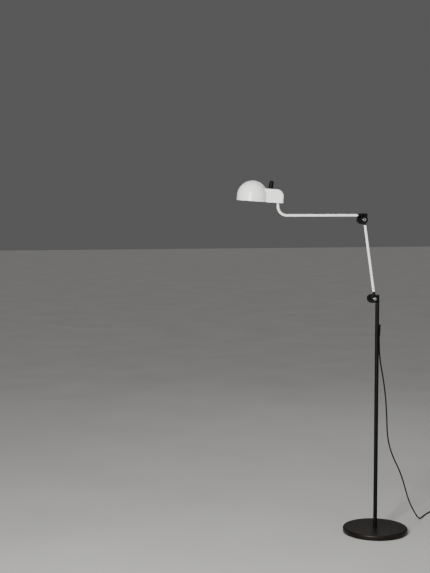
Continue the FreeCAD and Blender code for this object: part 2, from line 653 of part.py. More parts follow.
def shade_form(name, inset):
    """The solid form of the head, dome and tail, set in by a formula."""
    body = new_body(name)
    dome = new_sketch(body)
    dome_outline(dome, inset)
    revolve(body, dome)
    back = "dome_forward + tail_back - " + inset
    tail = new_sketch(body)
    box_outline(tail, "dome_radius / 3", back, "0", "tail_height - " + inset)
    extrude(body, tail, "(tail_width / 2 - %s) * 2" % inset, middle=True)
    end = amount(back)
    top = amount("tail_height - " + inset)
    side = amount("tail_width / 2 - " + inset)
    beside_dome = math.sqrt(size("dome_radius") ** 2 - side ** 2)
    reach = beside_dome / 2

    def corner(edge):
        box = edge.BoundBox
        return abs(box.XMin - end) < NEAR and abs(box.ZMin - top) < NEAR

    def long_edge(edge):
        """Along both sides of the top, round the corner and down the back."""
        box = edge.BoundBox
        on_side = abs(abs(box.YMin) - side) < NEAR and box.YMax - box.YMin < NEAR
        outermost = box.XMax > end - NEAR or box.ZMin > top - NEAR
        return on_side and outermost and box.XMin > reach and box.ZMax > AT_RIM

    def seam(edge):
        """Where the tail runs into the dome."""
        box = edge.BoundBox
        within_tail = reach < box.XMax < beside_dome + size("tail_round")
        return within_tail and box.ZMax > AT_RIM and box.ZMin < top + AT_RIM and edge.Length > SHORT_EDGE

    soften(body, "tail_corner - " + inset, corner)
    soften(body, "tail_round - " + inset, long_edge)
    soften(body, "junction_round + " + inset, seam)
    return body


def shade_shell():
    """One deep-drawn white shell: a round dome run into a boxed tail, open below."""
    body = shade_form("shade_shell", "0")
    hollow = body.newObject("PartDesign::Boolean", "shade_shell_hollow")
    hollow.setObjects([shade_form(SHADE_CORE, "shade_wall")])
    hollow.Type = "Cut"
    doc.recompute()
    opening = new_sketch(body, "XY")
    ring(opening, "bushing_radius + seat_gap", "dome_forward + switch_x", "0")
    opening.setExpression(".AttachmentOffset.Base.z", cells("tail_height + cut_margin"))
    extrude(body, opening, "shade_wall + cut_margin * 2", "Pocket")
    body.Placement = HEAD * at(-size("dome_forward"))


def tail_cover():
    """Flat cover that closes the tail from below, slotted for the arm."""
    body = new_body("tail_cover")
    plate = new_sketch(body, "XY")
    half = "tail_width / 2 - shade_wall - face_gap * 2"
    back = "tail_back - shade_wall - face_gap * 2"
    outline(plate, [("-cover_front", "-(%s)" % half), (back, "-(%s)" % half),
                    (back, half), ("-cover_front", half)])
    plate.setExpression(".AttachmentOffset.Base.z", cells("cover_recess"))
    extrude(body, plate, "cover_thickness")
    rear = amount(back)

    def rear_corner(edge):
        box = edge.BoundBox
        upright = box.ZMax - box.ZMin > AT_RIM and box.YMax - box.YMin < NEAR
        return upright and box.XMin > rear - NEAR
    soften(body, "tail_round", rear_corner)
    slot = new_sketch(body, "XY")
    outline(slot, [("-slot_front", "-slot_width / 2"), ("slot_rear", "-slot_width / 2"),
                   ("slot_rear", "slot_width / 2"), ("-slot_front", "slot_width / 2")])
    cut_through(body, slot)
    holes = new_sketch(body, "XY")
    for side in ("", "-"):
        ring(holes, "cover_screw_radius + seat_gap", "cover_post_x", side + "cover_screw_offset")
    cut_through(body, holes)
    body.Placement = HEAD


def stacked(name, centres, levels, place):
    """Round pieces alike in one node: at each centre, a stack of (radius, low, high) lengths."""
    body = new_body(name)
    for radius, low, high in levels:
        sketch = new_sketch(body, "XY")
        sketch.setExpression(".AttachmentOffset.Base.z", cells(low))
        for x, y in centres:
            ring(sketch, radius, x, y)
        extrude(body, sketch, "(%s) - (%s)" % (high, low))
    body.Placement = place
    return body


def cover_fixings():
    """Two pillars between the cover and the top of the tail, and their screws."""
    centres = [("cover_post_x", "cover_screw_offset"), ("cover_post_x", "-cover_screw_offset")]
    top = "cover_recess + cover_thickness"
    ceiling = "tail_height - shade_wall"
    pillars = stacked("cover_pillars", centres, [("cover_post_radius", top, ceiling)], HEAD)
    bores = new_sketch(pillars, "XY")
    bores.setExpression(".AttachmentOffset.Base.z", cells(top))
    for x, y in centres:
        ring(bores, "cover_screw_radius + seat_gap", x, y)
    extrude(pillars, bores, "cover_screw_length", "Pocket", reverse=True)
    stacked("cover_screws", centres, [
        ("cover_screw_radius * 2", "cover_recess - cover_screw_radius", "cover_recess"),
        ("cover_screw_radius", "cover_recess", "cover_recess + cover_screw_length"),
    ], HEAD)


def head_chassis():
    """Folded steel bracket under the top of the tail, with a cheek each side of the pivot."""
    body = new_body("head_chassis")
    ceiling = "tail_height - shade_wall"
    wing = new_sketch(body)
    outline(wing, [("web_front", ceiling), ("web_back", ceiling), ("cheek_half_width", "lamp_height"),
                   ("cheek_half_width", "cheek_foot"), ("-cheek_half_width", "cheek_foot"),
                   ("-cheek_half_width", "lamp_height"), ("web_front", ceiling + " - chassis_plate * 3")])
    extrude(body, wing, "(cheek_inner + chassis_plate) * 2", middle=True)
    gap = new_sketch(body)
    box_outline(gap, "web_front - cut_margin", "cheek_half_width + cut_margin",
                "cheek_foot - cut_margin", ceiling + " - chassis_plate")
    extrude(body, gap, "cheek_inner * 2", "Pocket", middle=True)
    bore = new_sketch(body)
    ring(bore, "tilt_pin_radius + seat_gap", "0", "pivot_height")
    cut_through(body, bore)
    opening = new_sketch(body, "XY")
    ring(opening, "bushing_radius + seat_gap", "switch_x", "0")
    cut_through(body, opening)
    body.Placement = HEAD


def switch():
    """Toggle switch under the chassis, its bushing and nut above the shell, and its lever."""
    web = "tail_height - shade_wall - chassis_plate"
    body = new_body("switch_body")
    block = new_sketch(body)
    box_outline(block, "-switch_body_length / 2", "switch_body_length / 2",
                web + " - switch_body_height", web)
    extrude(body, block, "switch_body_width", middle=True)
    low = amount(web + " - switch_body_height")
    soften(body, "chassis_plate / 2", flat_at(2, low), "Chamfer")
    body.Placement = HEAD * at(size("switch_x"))
    collar = HEAD * at(size("switch_x"))
    washer("switch_bushing", "bushing_radius / 2", "bushing_radius", web,
           "tail_height + bushing_rise", collar)
    nut = washer("switch_ring_nut", "bushing_radius + seat_gap", "ring_nut_radius", "tail_height",
                 "tail_height + ring_nut_height", collar)
    soften(nut, "ring_nut_height / 4", lambda edge: flat_at(2, amount("tail_height + ring_nut_height"))(edge)
           and edge.BoundBox.XMax > size("ring_nut_radius") - AT_RIM)
    pivot = HEAD * at(size("switch_x"), 0, size("tail_height"), angle=size("lever_lean"))
    lever = turned("switch_lever", [
        ("bushing_radius + lever_clearance", "lever_lift"), ("lever_base_radius", "lever_lift"),
        ("lever_top_radius", "lever_length"), ("0", "lever_length"),
        ("0", "lever_length - bushing_radius"),
        ("lever_stalk_radius + seat_gap", "lever_length - bushing_radius"),
        ("lever_stalk_radius + seat_gap", "bushing_rise * 2"),
        ("bushing_radius + lever_clearance", "bushing_rise * 2"),
    ], pivot)
    soften(lever, "lever_round", flat_at(2, size("lever_length")))
    turned("switch_stalk", [
        ("0", "-lever_stalk_radius"), ("lever_stalk_radius", "-lever_stalk_radius"),
        ("lever_stalk_radius", "lever_length - bushing_radius - face_gap"),
        ("0", "lever_length - bushing_radius - face_gap"),
    ], pivot)


def lampholder():
    """Small screw lampholder on a bracket at the front of the tail, and the lamp in it."""
    axis = HEAD * at(size("holder_back"), 0, size("lamp_height"), angle=-90)
    washer("holder_nipple", "nipple_radius - nipple_wall", "nipple_radius",
           "-bracket_thickness - nipple_nut_thickness - nipple_end", "holder_wall + nipple_end", axis)
    nut = new_body("holder_nut")
    sketch = new_sketch(nut, "XY")
    hexagon(sketch, "nipple_nut_radius")
    ring(sketch, "nipple_radius + seat_gap")
    sketch.setExpression(".AttachmentOffset.Base.z", cells("-bracket_thickness"))
    extrude(nut, sketch, "nipple_nut_thickness", reverse=True)
    nut.Placement = axis
    turned("lampholder", [
        ("nipple_radius + seat_gap", "0"), ("holder_radius", "0"), ("holder_radius", "holder_length"),
        ("holder_radius - holder_wall", "holder_length"), ("holder_radius - holder_wall", "holder_wall"),
        ("nipple_radius + seat_gap", "holder_wall"),
    ], axis)
    washer("lampholder_ring", "holder_radius + seat_gap", "holder_ring_radius",
           "holder_length - holder_ring_length", "holder_length", axis)
    contact = "holder_wall * 2 + contact_gap"
    liner = contact + " + contact_thickness"
    turned("contact_block", [
        ("0", contact), ("holder_radius - holder_wall - face_gap", contact),
        ("holder_radius - holder_wall - face_gap", liner), ("0", liner),
    ], axis)
    washer("threaded_liner", "lamp_cap_radius + face_gap", "lamp_cap_radius + liner_wall",
           liner, "holder_length - liner_inset", axis)
    cap = liner + " + face_gap"
    turned("lamp_cap", [
        ("0", cap), ("lamp_cap_radius / 2", cap), ("lamp_cap_radius", cap + " + cap_taper"),
        ("lamp_cap_radius", cap + " + lamp_cap_length"), ("0", cap + " + lamp_cap_length"),
    ], axis)
    lamp_bulb(cap, axis)
    bracket(axis)


# where the bulb's cone runs into its ball, as shares of the ball's radius: a 3-4-5 triangle
JOIN_ACROSS = 0.8
JOIN_BACK = 0.6


def lamp_bulb(cap, axis):
    """Round opal bulb: a cone from the cap that runs into a ball."""
    body = new_body("lamp_bulb")
    sketch = new_sketch(body)
    ball = size("lamp_bulb_radius")
    base = amount(cap + " + lamp_cap_length")
    tip = amount(cap + " + lamp_overall")
    centre = tip - ball
    join = Vector(ball * JOIN_ACROSS, centre - ball * JOIN_BACK, 0)
    neck = Vector(size("lamp_neck_radius"), base, 0)
    low = sketch.addGeometry(Part.LineSegment(Vector(0, base, 0), neck))
    cone = sketch.addGeometry(Part.LineSegment(neck, join))
    crown = sketch.addGeometry(Part.Arc(join, Vector(ball, centre, 0), Vector(0, tip, 0)))
    axis_line = sketch.addGeometry(Part.LineSegment(Vector(0, tip, 0), Vector(0, base, 0)))
    sketch.addConstraint(Sketcher.Constraint("Coincident", low, 2, cone, 1))
    sketch.addConstraint(Sketcher.Constraint("Coincident", cone, 2, crown, 1))
    sketch.addConstraint(Sketcher.Constraint("Coincident", crown, 2, axis_line, 1))
    sketch.addConstraint(Sketcher.Constraint("Coincident", axis_line, 2, low, 1))
    fix_point(sketch, low, 1, "0", cap + " + lamp_cap_length")
    fix_point(sketch, low, 2, "lamp_neck_radius", cap + " + lamp_cap_length")
    fix_point(sketch, crown, 2, "0", cap + " + lamp_overall")
    fix_point(sketch, crown, 1, "lamp_bulb_radius * %s" % JOIN_ACROSS,
              cap + " + lamp_overall - lamp_bulb_radius * %s" % (1 + JOIN_BACK))
    sketch.addConstraint(Sketcher.Constraint("PointOnObject", crown, 3, -2))
    revolve(body, sketch)
    body.Placement = axis


def bracket(axis):
    """Angle bracket on the cover that carries the lampholder."""
    body = new_body("lampholder_bracket")
    top = "cover_recess + cover_thickness"
    side = new_sketch(body)
    outline(side, [("holder_back", top), ("holder_back + nipple_nut_radius", top),
                   ("holder_back + nipple_nut_radius", top + " + bracket_thickness"),
                   ("holder_back + bracket_thickness", top + " + bracket_thickness"),
                   ("holder_back + bracket_thickness", "lamp_height + bracket_half_width"),
                   ("holder_back", "lamp_height + bracket_half_width")])
    extrude(body, side, "bracket_half_width * 2", middle=True)
    bore = new_sketch(body, "YZ")
    ring(bore, "nipple_radius + seat_gap", "0", "lamp_height")
    cut_through(body, bore)
    body.Placement = HEAD


def terminal_block():
    body = new_body("terminal_block")
    block = new_sketch(body)
    low = "cover_recess + cover_thickness"
    box_outline(block, "terminal_x - terminal_length / 2", "terminal_x + terminal_length / 2",
                low, low + " + terminal_height")
    extrude(body, block, "terminal_width", middle=True)
    body.Placement = HEAD


# ---------------------------------------------------------------- cord and plug

def smooth_run(points):
    """A wire of straight runs joined by tangent arcs; returns it and its tightest radius."""
    edges = []
    radii = []
    start = points[0]
    for before, corner, after in zip(points, points[1:], points[2:]):
        into = (corner - before).normalize()
        out = (after - corner).normalize()
        turn = into.getAngle(out)
        cut = 0.45 * min((corner - before).Length, (after - corner).Length)
        radius = cut / math.tan(turn / 2)
        radii.append(radius)
        arc_start = corner - into * cut
        arc_end = corner + out * cut
        bisector = (out - into).normalize()
        middle = corner + bisector * (radius / math.cos(turn / 2) - radius)
        edges.append(Part.LineSegment(start, arc_start).toShape())
        edges.append(Part.Arc(arc_start, middle, arc_end).toShape())
        start = arc_end
    edges.append(Part.LineSegment(start, points[-1]).toShape())
    return Part.Wire(edges), radii


def run_tube(name, points, radius):
    """A round tube along a smoothed run of points; prints its length and bends."""
    wire, radii = smooth_run(points)
    direction = (points[1] - points[0]).normalize()
    ring_edge = Part.Circle(points[0], direction, radius).toShape()
    shape = wire.makePipeShell([Part.Wire(ring_edge)], True, True)
    piece = doc.addObject("Part::Feature", name)
    piece.Label = name
    piece.Shape = shape
    expected = math.pi * radius ** 2 * wire.Length
    print(name, "length %.1f" % wire.Length, "volume ratio %.4f" % (shape.Volume / expected))
    print("  bend radii:", " ".join("%.0f" % value for value in radii))
    return piece


FLOOR_Z = amount("cord_radius + floor_gap")
CORD_POINTS = [
    Vector(12.07, 6.69, 826), Vector(12.07, 6.69, 778), Vector(14.5, 7.6, 732), Vector(22, 11, 688),
    Vector(34, 17.5, 640), Vector(44.5, 21.5, 588), Vector(52, 25.5, 538), Vector(57, 28, 484),
    Vector(60, 30, 432), Vector(64, 31.5, 384), Vector(76, 37, 338), Vector(99, 48, 288),
    Vector(129, 61, 238), Vector(152, 72, 188), Vector(171, 81, 134), Vector(190, 90, 88),
    Vector(217, 103, 44), Vector(240, 114, 12), Vector(260, 130, FLOOR_Z), Vector(280, 154, FLOOR_Z),
    Vector(303, 181, FLOOR_Z), Vector(329, 205, FLOOR_Z), Vector(352, 226, FLOOR_Z),
]
COIL_CENTRE = Vector(396, 216, 0)
TIE_BEARING = -110


def cord():
    """The free cord, from its outlet down to the floor and along to its coil."""
    run_tube("cord_tube", CORD_POINTS, size("cord_radius"))


def cord_coil():
    """The spare cord wound in a neat coil, as its outer shape, and the tie round it."""
    half = "coil_columns * cord_radius"
    high = "coil_lift + coil_layers * cord_radius * 2"
    body = turned("cord_coil", [
        ("coil_middle_radius - " + half, "coil_lift"), ("coil_middle_radius + " + half, "coil_lift"),
        ("coil_middle_radius + " + half, high), ("coil_middle_radius - " + half, high),
    ], at(*COIL_CENTRE))
    soften(body, "cord_radius - face_gap * 3", lambda edge: True)
    tie = new_body("coil_tie")
    loop = new_sketch(tie)
    inner = half + " + tie_slack"
    outer = inner + " + tie_thickness"
    box_outline(loop, "coil_middle_radius - (%s)" % outer, "coil_middle_radius + %s" % outer,
                "coil_lift - face_gap - tie_thickness", high + " + face_gap + tie_thickness")
    box_outline(loop, "coil_middle_radius - (%s)" % inner, "coil_middle_radius + %s" % inner,
                "coil_lift - face_gap", high + " + face_gap")
    extrude(tie, loop, "tie_width", middle=True)
    tie.Placement = at(*COIL_CENTRE, axis=Vector(0, 0, 1), angle=TIE_BEARING)


def plug():
    """Two-pin plug lying beside the coil, in line with the turn that leads to it."""
    outer_turn = "coil_middle_radius + (coil_columns - 1) * cord_radius"
    place = at(COIL_CENTRE.x + amount(outer_turn), COIL_CENTRE.y - size("plug_lead"),
               amount("plug_depth / 2 + face_gap"), Vector(1, 0, 0), 90)
    turned("plug_sleeve", [("0", "0"), ("relief_tip_radius", "0"), ("plug_neck", "plug_sleeve_length"),
                           ("0", "plug_sleeve_length")], place)
    body = new_body("plug_body")
    outside = new_sketch(body)
    wide = "plug_width / 2"
    start = "plug_sleeve_length"
    end = "plug_sleeve_length + plug_length"
    shoulder = "plug_sleeve_length + plug_shoulder"
    outline(outside, [("-plug_neck", start), ("plug_neck", start), (wide, shoulder), (wide, end),
                      ("-" + wide, end), ("-" + wide, shoulder)])
    extrude(body, outside, "plug_depth", middle=True)
    soften(body, "plug_round", lambda edge: edge.BoundBox.ZMax > size("plug_sleeve_length") + AT_RIM)
    body.Placement = place
    stacked("plug_pins", [("plug_pin_spacing / 2", "0"), ("-plug_pin_spacing / 2", "0")],
            [("plug_pin_radius", end, end + " + plug_pin_length")], place)

base_disc()
base_pad()
stem_foot()
stem_tube()
stem_bush()
stem_cable()
cord_outlet()
lower_socket()
upper_socket()
knuckle("lower_joint_knuckle", "lower_neck_end", LOWER)
knuckle("upper_joint_knuckle", "upper_neck_end", UPPER * at(angle=-size("lower_arm_lean") + 180))
pivot_hardware("lower", LOWER)
pivot_hardware("upper", UPPER)
lower_arm()
upper_arm()
head_mount()
shade_shell()
tail_cover()
cover_fixings()
head_chassis()
switch()
lampholder()
terminal_block()
cord()
cord_coil()
plug()

doc.recompute()
os.makedirs("parts", exist_ok=True)
for item in doc.Objects:
    if "Invalid" in item.State or "Error" in item.State:
        raise RuntimeError("%s is not valid: %s" % (item.Name, item.State))
pieces = [item for item in doc.Objects if item.TypeId == "PartDesign::Body" and item.Label != SHADE_CORE]
pieces += [item for item in doc.Objects if item.TypeId == "Part::Feature"]
for piece in pieces:
    if piece.Shape.isNull() or not piece.Shape.isValid():
        raise RuntimeError("%s has no valid shape" % piece.Label)
    piece.Shape.exportStep("parts/%s.step" % piece.Label)
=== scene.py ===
import math

import bmesh
import bpy
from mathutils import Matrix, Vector


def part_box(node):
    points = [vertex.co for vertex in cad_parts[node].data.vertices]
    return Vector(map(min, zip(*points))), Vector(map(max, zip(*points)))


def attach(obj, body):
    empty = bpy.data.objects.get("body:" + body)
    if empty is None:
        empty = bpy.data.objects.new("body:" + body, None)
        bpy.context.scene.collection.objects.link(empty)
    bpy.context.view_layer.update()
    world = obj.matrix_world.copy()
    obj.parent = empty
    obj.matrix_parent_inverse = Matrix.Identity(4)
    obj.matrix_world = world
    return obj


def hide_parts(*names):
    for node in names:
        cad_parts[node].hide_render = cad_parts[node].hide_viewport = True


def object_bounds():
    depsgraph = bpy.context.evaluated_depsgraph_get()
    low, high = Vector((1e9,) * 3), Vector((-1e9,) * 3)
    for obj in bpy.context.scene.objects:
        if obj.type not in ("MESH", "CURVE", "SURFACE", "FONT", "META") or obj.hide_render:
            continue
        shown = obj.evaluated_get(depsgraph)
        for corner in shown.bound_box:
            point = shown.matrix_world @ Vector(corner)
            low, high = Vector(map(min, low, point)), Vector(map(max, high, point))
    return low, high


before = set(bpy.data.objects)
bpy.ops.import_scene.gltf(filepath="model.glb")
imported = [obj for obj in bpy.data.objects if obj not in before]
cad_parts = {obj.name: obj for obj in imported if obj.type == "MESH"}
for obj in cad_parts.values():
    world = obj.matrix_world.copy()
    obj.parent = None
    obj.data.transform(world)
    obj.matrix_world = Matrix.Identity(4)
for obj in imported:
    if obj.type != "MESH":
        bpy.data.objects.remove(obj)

cad_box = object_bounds()

# ------------------------------------------------------------------ camera
# It stands at eye height some four and a half metres in front of the lamp and to its left,
# and looks slightly down, with a moderately long lens.
camera = bpy.data.objects.new("camera", bpy.data.cameras.new("camera"))
bpy.context.scene.collection.objects.link(camera)
look_down = math.radians(4.08)
look_right = math.radians(14.0)
camera.location = (-1.7358, -4.2544, 1.3315)
camera.rotation_euler = (math.pi / 2 - look_down, 0, -look_right)
camera.data.lens = 71.06
camera.data.dof.use_dof = False
bpy.context.scene.camera = camera

# ------------------------------------------------------------------ floor and light
# Pale matte floor under even, very soft light from above, with a tall soft box at the left
# in front, a broad weaker one at the right, and a faint one behind.
floor_half_width = 30
floor_mesh = bpy.data.meshes.new("floor")
floor_bm = bmesh.new()
bmesh.ops.create_grid(floor_bm, x_segments=1, y_segments=1, size=floor_half_width)
floor_bm.to_mesh(floor_mesh)
floor_bm.free()
floor = bpy.data.objects.new("floor", floor_mesh)
bpy.context.scene.collection.objects.link(floor)


def surface_group():
    """A coat's or moulding's surface: a slow drift of tone and shine, and a fine grain."""
    tree = bpy.data.node_groups.new("surface", "ShaderNodeTree")
    for label in ("Dark Tone", "Light Tone"):
        tree.interface.new_socket(label, in_out="INPUT", socket_type="NodeSocketColor")
    for label in ("Cloud Scale", "Grain Scale", "Rough Low", "Rough High"):
        tree.interface.new_socket(label, in_out="INPUT", socket_type="NodeSocketFloat")
    tree.interface.new_socket("Color", in_out="OUTPUT", socket_type="NodeSocketColor")
    tree.interface.new_socket("Roughness", in_out="OUTPUT", socket_type="NodeSocketFloat")
    tree.interface.new_socket("Height", in_out="OUTPUT", socket_type="NodeSocketFloat")
    given = tree.nodes.new("NodeGroupInput")
    result = tree.nodes.new("NodeGroupOutput")
    place = tree.nodes.new("ShaderNodeTexCoord")
    cloud = tree.nodes.new("ShaderNodeTexNoise")
    cloud.inputs["Detail"].default_value = 6
    cloud.inputs["Roughness"].default_value = 0.6
    tree.links.new(place.outputs["Object"], cloud.inputs["Vector"])
    tree.links.new(given.outputs["Cloud Scale"], cloud.inputs["Scale"])
    spread = tree.nodes.new("ShaderNodeMapRange")
    spread.inputs["From Min"].default_value = 0.32
    spread.inputs["From Max"].default_value = 0.68
    tree.links.new(cloud.outputs["Fac"], spread.inputs["Value"])
    tone = tree.nodes.new("ShaderNodeMix")
    tone.data_type = "RGBA"
    tree.links.new(spread.outputs["Result"], tone.inputs["Factor"])
    tree.links.new(given.outputs["Dark Tone"], tone.inputs["A"])
    tree.links.new(given.outputs["Light Tone"], tone.inputs["B"])
    tree.links.new(tone.outputs["Result"], result.inputs["Color"])
    shine = tree.nodes.new("ShaderNodeMapRange")
    tree.links.new(spread.outputs["Result"], shine.inputs["Value"])
    tree.links.new(given.outputs["Rough Low"], shine.inputs["To Min"])
    tree.links.new(given.outputs["Rough High"], shine.inputs["To Max"])
    tree.links.new(shine.outputs["Result"], result.inputs["Roughness"])
    grain = tree.nodes.new("ShaderNodeTexNoise")
    grain.inputs["Detail"].default_value = 3
    tree.links.new(place.outputs["Object"], grain.inputs["Vector"])
    tree.links.new(given.outputs["Grain Scale"], grain.inputs["Scale"])
    tree.links.new(grain.outputs["Fac"], result.inputs["Height"])
    return tree


surface = surface_group()


def finish(name, dark, light, rough, cloud, grain, depth, metal=0.0, shine=0.5):
    """A finish between two tones and two roughnesses, with grain of a depth in metres."""
    material = bpy.data.materials.new(name)
    material.use_nodes = True
    nodes = material.node_tree.nodes
    links = material.node_tree.links
    shader = nodes["Principled BSDF"]
    shader.inputs["Metallic"].default_value = metal
    shader.inputs["Specular IOR Level"].default_value = shine
    group = nodes.new("ShaderNodeGroup")
    group.name = "surface"
    group.node_tree = surface
    group.inputs["Dark Tone"].default_value = (*dark, 1)
    group.inputs["Light Tone"].default_value = (*light, 1)
    group.inputs["Cloud Scale"].default_value = cloud
    group.inputs["Grain Scale"].default_value = grain
    group.inputs["Rough Low"].default_value = rough[0]
    group.inputs["Rough High"].default_value = rough[1]
    bump = nodes.new("ShaderNodeBump")
    bump.name = "grain"
    bump.inputs["Distance"].default_value = depth
    links.new(group.outputs["Color"], shader.inputs["Base Color"])
    links.new(group.outputs["Roughness"], shader.inputs["Roughness"])
    links.new(group.outputs["Height"], bump.inputs["Height"])
    links.new(bump.outputs["Normal"], shader.inputs["Normal"])
    return material


floor.data.materials.append(finish("pale_floor", (0.405, 0.4, 0.39), (0.435, 0.43, 0.42),
                                   (0.6, 0.7), cloud=2, grain=60, depth=0.0002))


def soft_box(name, place, aim, width, height, power):
    """An upright area light that faces a point."""
    data = bpy.data.lights.new(name, "AREA")
    data.shape = "RECTANGLE"
    data.size = width
    data.size_y = height
    data.energy = power
    light = bpy.data.objects.new(name, data)
    light.location = place
    light.rotation_euler = (aim - Vector(place)).to_track_quat("-Z", "Y").to_euler()
    bpy.context.scene.collection.objects.link(light)


lamp_middle = (cad_box[0] + cad_box[1]) / 2
soft_box("key_light", (-2.2, -2.6, 1.9), lamp_middle, width=0.6, height=1.9, power=200)
soft_box("fill_light", (2.6, -2.6, 1.6), lamp_middle, width=2.0, height=2.0, power=22)
soft_box("back_light", (0.9, 2.4, 2.4), lamp_middle, width=1.6, height=1.6, power=9)
sky_data = bpy.data.lights.new("sky_light", "SUN")
sky_data.energy = 1.0
sky_data.angle = math.radians(60)
sky_light = bpy.data.objects.new("sky_light", sky_data)
sky_tilt_forward = math.radians(18)
sky_tilt_sideways = math.radians(-14)
sky_light.rotation_euler = (sky_tilt_forward, sky_tilt_sideways, 0)
bpy.context.scene.collection.objects.link(sky_light)
room = bpy.data.worlds.new("room")
room.use_nodes = True
room.node_tree.nodes["Background"].inputs["Color"].default_value = (0.105, 0.104, 0.104, 1)
bpy.context.scene.world = room

# ------------------------------------------------------------------ base disc
# Heavy iron casting, turned, with a broad rounding on its upper edge, stoved in a very dark
# brown enamel.  The enamel is a little uneven, and slow waves of the casting show in its shine.
base_iron = finish("base_iron", (0.0045, 0.003, 0.0018), (0.0095, 0.0068, 0.0045),
                   (0.3, 0.46), cloud=48, grain=620, depth=0.00012, shine=0.18)
base_low, base_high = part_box("base_disc")
base_size = base_high - base_low
upper_round = 0.0075
lower_round = 0.0015
same_height = 1e-6
base_around = 192
base_bm = bmesh.new()
bmesh.ops.create_cone(base_bm, cap_ends=True, segments=base_around, radius1=base_size.x / 2,
                      radius2=base_size.x / 2, depth=base_size.z)
for rim_side, rounding, rim_segments in ((1, upper_round, 10), (-1, lower_round, 3)):
    rim = [edge for edge in base_bm.edges
           if all(vert.co.z * rim_side > base_size.z / 2 - same_height
                  for vert in edge.verts)]
    bmesh.ops.bevel(base_bm, geom=rim, offset=rounding, offset_type="OFFSET", profile=0.5,
                    segments=rim_segments, affect="EDGES", material=-1, clamp_overlap=True)
bmesh.ops.translate(base_bm, verts=base_bm.verts, vec=(base_low + base_high) / 2)


def add_piece(name, bm, body, material, stands_for, sharp_angle):
    """Makes a piece of a finished mesh: its shading, finish, body, and the CAD it stands for."""
    bmesh.ops.recalc_face_normals(bm, faces=bm.faces)
    mesh = bpy.data.meshes.new(name)
    bm.to_mesh(mesh)
    bm.free()
    mesh.polygons.foreach_set("use_smooth", [True] * len(mesh.polygons))
    mesh.set_sharp_from_angle(angle=math.radians(sharp_angle))
    mesh.materials.append(material)
    piece = bpy.data.objects.new(name, mesh)
    bpy.context.scene.collection.objects.link(piece)
    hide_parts(*stands_for)
    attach(piece, body)
    return piece


add_piece("base_casting", base_bm, "stand", base_iron, ["base_disc"],
          sharp_angle=40)


def dress(material, *names):
    """Gives CAD nodes one finish."""
    for name in names:
        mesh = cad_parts[name].data
        mesh.materials.clear()
        mesh.materials.append(material)


# ------------------------------------------------------------------ pad under the base
# Dark wool felt glued over the underside, so that the iron doesn't mark a floor.  Its fibres
# lie every way and catch the light as a soft sheen.
felt = finish("felt", (0.018, 0.018, 0.02), (0.06, 0.06, 0.063), (0.9, 1.0),
              cloud=700, grain=2600, depth=0.0004)
felt.node_tree.nodes["Principled BSDF"].inputs["Sheen Weight"].default_value = 0.4
dress(felt, "base_pad")

# ------------------------------------------------------------------ foot of the stem
# A zinc-plated bolt pulls the stem down from below, over a broad washer.  The washer lies in
# a recess that the pad covers.
plain_steel = finish("plain_steel", (0.36, 0.36, 0.37), (0.52, 0.52, 0.53), (0.24, 0.4),
                     cloud=220, grain=1800, depth=0.00003, metal=1.0)
dress(plain_steel, "foot_bolt", "foot_washer")

# ------------------------------------------------------------------ stem
# Drawn steel tube, 16 mm across, on a turned plug with a low collar, both in satin black
# powder coat with the fine orange peel of that coat.
black_paint = finish("black_paint", (0.0016, 0.0016, 0.0016), (0.0032, 0.0031, 0.003),
                     (0.42, 0.56), cloud=42, grain=1500, depth=0.00006, shine=0.12)
dress(black_paint, "stem_tube", "stem_foot_plug")

# ------------------------------------------------------------------ bush in the stem
# Flanged bush moulded in black nylon and pressed into the top of the stem.  The pin that the
# arms swivel on turns in it.
black_plastic = finish("black_plastic", (0.003, 0.003, 0.0032), (0.0065, 0.0065, 0.0068),
                       (0.4, 0.52), cloud=160, grain=2400, depth=0.00008, shine=0.2)
dress(black_plastic, "stem_bush")

# ------------------------------------------------------------------ cable inside
# Cable in a black sheath, drawn through the stem and the arms.  It is seen only at their
# ends.
cord_rubber = finish("cord_rubber", (0.0035, 0.0035, 0.0035), (0.0075, 0.0075, 0.0075),
                     (0.44, 0.58), cloud=90, grain=1400, depth=0.00006, shine=0.2)
dress(cord_rubber, "stem_cable", "lower_arm_cable", "upper_arm_cable")

# ------------------------------------------------------------------ cord outlet
# Moulded black saddle on the back of the stem, held by one plated screw that goes through
# it into the tube's wall.
dress(black_plastic, "cord_outlet")
dress(plain_steel, "outlet_screw")

# ------------------------------------------------------------------ strain relief
# Soft black sleeve that tapers from the outlet down the cord.  Grooves cut round it let it
# bend evenly, so the cord can't kink at the outlet.
relief_low, relief_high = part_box("cord_strain_relief")
relief_length = relief_high.z - relief_low.z
relief_top_radius = (relief_high.x - relief_low.x) / 2
relief_tip_radius = 0.004
cord_radius = 0.0029
relief_bore = cord_radius - 0.0002
lip = 0.0004
groove_depth = 0.0007
groove_count = 7
first_groove = 0.0025
plain_ends = 0.004
groove_pitch = (relief_length - plain_ends) / groove_count
relief_around = 48


def relief_radius(depth):
    """Outer radius of the relief, so far below its top."""
    return relief_top_radius + (relief_tip_radius - relief_top_radius) * depth / relief_length


